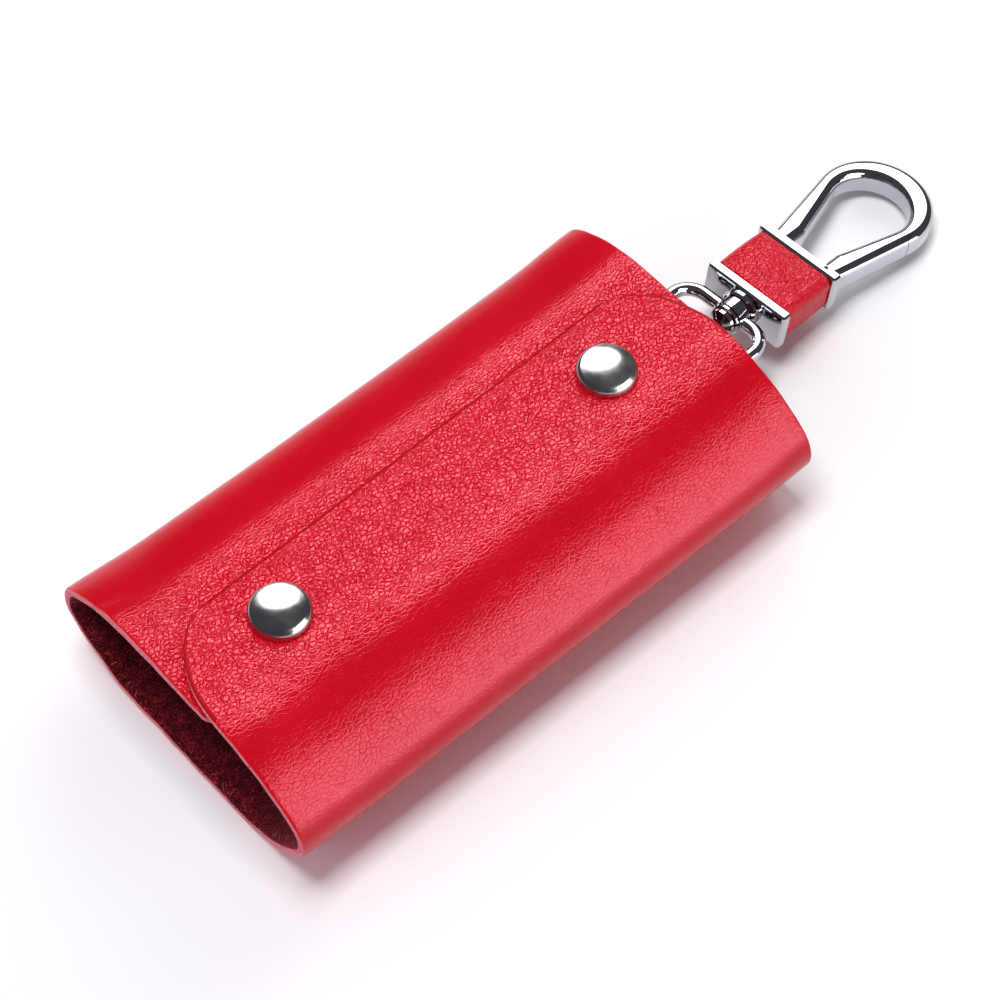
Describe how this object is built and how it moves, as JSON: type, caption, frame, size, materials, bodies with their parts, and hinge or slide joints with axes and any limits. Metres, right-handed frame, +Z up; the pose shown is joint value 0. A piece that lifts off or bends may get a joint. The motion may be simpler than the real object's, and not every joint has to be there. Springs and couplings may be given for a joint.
{
  "type": "key case",
  "caption": "Red pebbled leather key case with folded flaps closed by domed snaps, swivelling key hooks inside and a chrome swivel clip on a link ring at one end.",
  "frame": {"origin": "middle of the flat back of the closed case, on the surface it lies on", "axes": "+X along the case towards the clip, +Y towards the fold of the inner flap, +Z up through the snaps"},
  "size_m": [0.1641, 0.0582, 0.0273],
  "materials": {
    "red_leather": "pebbled top grain with a soft sheen, raw cut edges",
    "nickel_snaps": "polished nickel",
    "nickel_plate": "nickel plated steel",
    "chrome_clip": "mirror chrome on a casting",
    "spring_steel": "plain spring steel"
  },
  "bodies": {
    "case_back": {"back_panel": "red_leather", "key_plate": "nickel_plate", "plate_rivets": "nickel_plate"},
    "outer_flap": {"outer_flap": "red_leather", "snap_caps": "nickel_snaps", "snap_sockets": "nickel_snaps"},
    "inner_flap": {"inner_flap": "red_leather", "snap_studs": "nickel_snaps", "snap_posts": "nickel_snaps"},
    "link_ring": {"link_ring": "chrome_clip"},
    "clip": {"clip_body": "chrome_clip", "clip_sleeve": "red_leather", "swivel_post": "chrome_clip", "swivel_washer": "chrome_clip", "gate_pin": "chrome_clip", "gate_spring": "spring_steel"},
    "clip_gate": {"clip_gate": "chrome_clip"},
    "key_hook_1": {"key_hook_1": "nickel_plate"},
    "key_gate_1": {"key_gate_1": "spring_steel"},
    "key_hook_2": {"key_hook_2": "nickel_plate"},
    "key_gate_2": {"key_gate_2": "spring_steel"},
    "key_hook_3": {"key_hook_3": "nickel_plate"},
    "key_gate_3": {"key_gate_3": "spring_steel"},
    "key_hook_4": {"key_hook_4": "nickel_plate"},
    "key_gate_4": {"key_gate_4": "spring_steel"},
    "key_hook_5": {"key_hook_5": "nickel_plate"},
    "key_gate_5": {"key_gate_5": "spring_steel"},
    "key_hook_6": {"key_hook_6": "nickel_plate"},
    "key_gate_6": {"key_gate_6": "spring_steel"}
  },
  "joints": [
    {"name": "outer_flap_fold", "type": "hinge", "parent": "case_back", "child": "outer_flap", "pos_m": [0, -0.02835, 0.015], "axis": [1, 0, 0], "range_deg": [0, 165]},
    {"name": "inner_flap_fold", "type": "hinge", "parent": "case_back", "child": "inner_flap", "pos_m": [0, 0.02821, 0.0155], "axis": [-1, 0, 0], "range_deg": [0, 66]},
    {"name": "ring_hinge", "type": "hinge", "parent": "case_back", "child": "link_ring", "pos_m": [0.05045, 0.0003, 0.0112], "axis": [-0.0785, 0.9969, 0], "range_deg": [-60, 45]},
    {"name": "clip_swivel", "type": "hinge", "parent": "link_ring", "child": "clip", "pos_m": [0.05045, 0.0003, 0.0112], "axis": [0.9871, 0.0777, -0.1398], "continuous": true},
    {"name": "clip_gate_hinge", "type": "hinge", "parent": "clip", "child": "clip_gate", "pos_m": [0.08168, -0.00276, 0.00684], "axis": [0.1394, 0.011, 0.9902], "range_deg": [0, 22], "stiffness_Nm_per_rad": 0.05},
    {"name": "hook_swivel_1", "type": "hinge", "parent": "case_back", "child": "key_hook_1", "pos_m": [0.04, -0.0175, 0.007], "axis": [1, 0, 0], "continuous": true},
    {"name": "key_gate_bend_1", "type": "hinge", "parent": "key_hook_1", "child": "key_gate_1", "pos_m": [0.03035, -0.01552, 0.007], "axis": [0, 0, 1], "range_deg": [0, 15], "stiffness_Nm_per_rad": 0.02},
    {"name": "hook_swivel_2", "type": "hinge", "parent": "case_back", "child": "key_hook_2", "pos_m": [0.04, -0.0105, 0.007], "axis": [1, 0, 0], "continuous": true},
    {"name": "key_gate_bend_2", "type": "hinge", "parent": "key_hook_2", "child": "key_gate_2", "pos_m": [0.03035, -0.00852, 0.007], "axis": [0, 0, 1], "range_deg": [0, 15], "stiffness_Nm_per_rad": 0.02},
    {"name": "hook_swivel_3", "type": "hinge", "parent": "case_back", "child": "key_hook_3", "pos_m": [0.04, -0.0035, 0.007], "axis": [1, 0, 0], "continuous": true},
    {"name": "key_gate_bend_3", "type": "hinge", "parent": "key_hook_3", "child": "key_gate_3", "pos_m": [0.03035, -0.00152, 0.007], "axis": [0, 0, 1], "range_deg": [0, 15], "stiffness_Nm_per_rad": 0.02},
    {"name": "hook_swivel_4", "type": "hinge", "parent": "case_back", "child": "key_hook_4", "pos_m": [0.04, 0.0035, 0.007], "axis": [1, 0, 0], "continuous": true},
    {"name": "key_gate_bend_4", "type": "hinge", "parent": "key_hook_4", "child": "key_gate_4", "pos_m": [0.03035, 0.00548, 0.007], "axis": [0, 0, 1], "range_deg": [0, 15], "stiffness_Nm_per_rad": 0.02},
    {"name": "hook_swivel_5", "type": "hinge", "parent": "case_back", "child": "key_hook_5", "pos_m": [0.04, 0.0105, 0.007], "axis": [1, 0, 0], "continuous": true},
    {"name": "key_gate_bend_5", "type": "hinge", "parent": "key_hook_5", "child": "key_gate_5", "pos_m": [0.03035, 0.01248, 0.007], "axis": [0, 0, 1], "range_deg": [0, 15], "stiffness_Nm_per_rad": 0.02},
    {"name": "hook_swivel_6", "type": "hinge", "parent": "case_back", "child": "key_hook_6", "pos_m": [0.04, 0.0175, 0.007], "axis": [1, 0, 0], "continuous": true},
    {"name": "key_gate_bend_6", "type": "hinge", "parent": "key_hook_6", "child": "key_gate_6", "pos_m": [0.03035, 0.01948, 0.007], "axis": [0, 0, 1], "range_deg": [0, 15], "stiffness_Nm_per_rad": 0.02}
  ],
  "couplings": [
    {"joint": "inner_flap_fold", "follows": "outer_flap_fold", "ratio": 0.4}
  ]
}
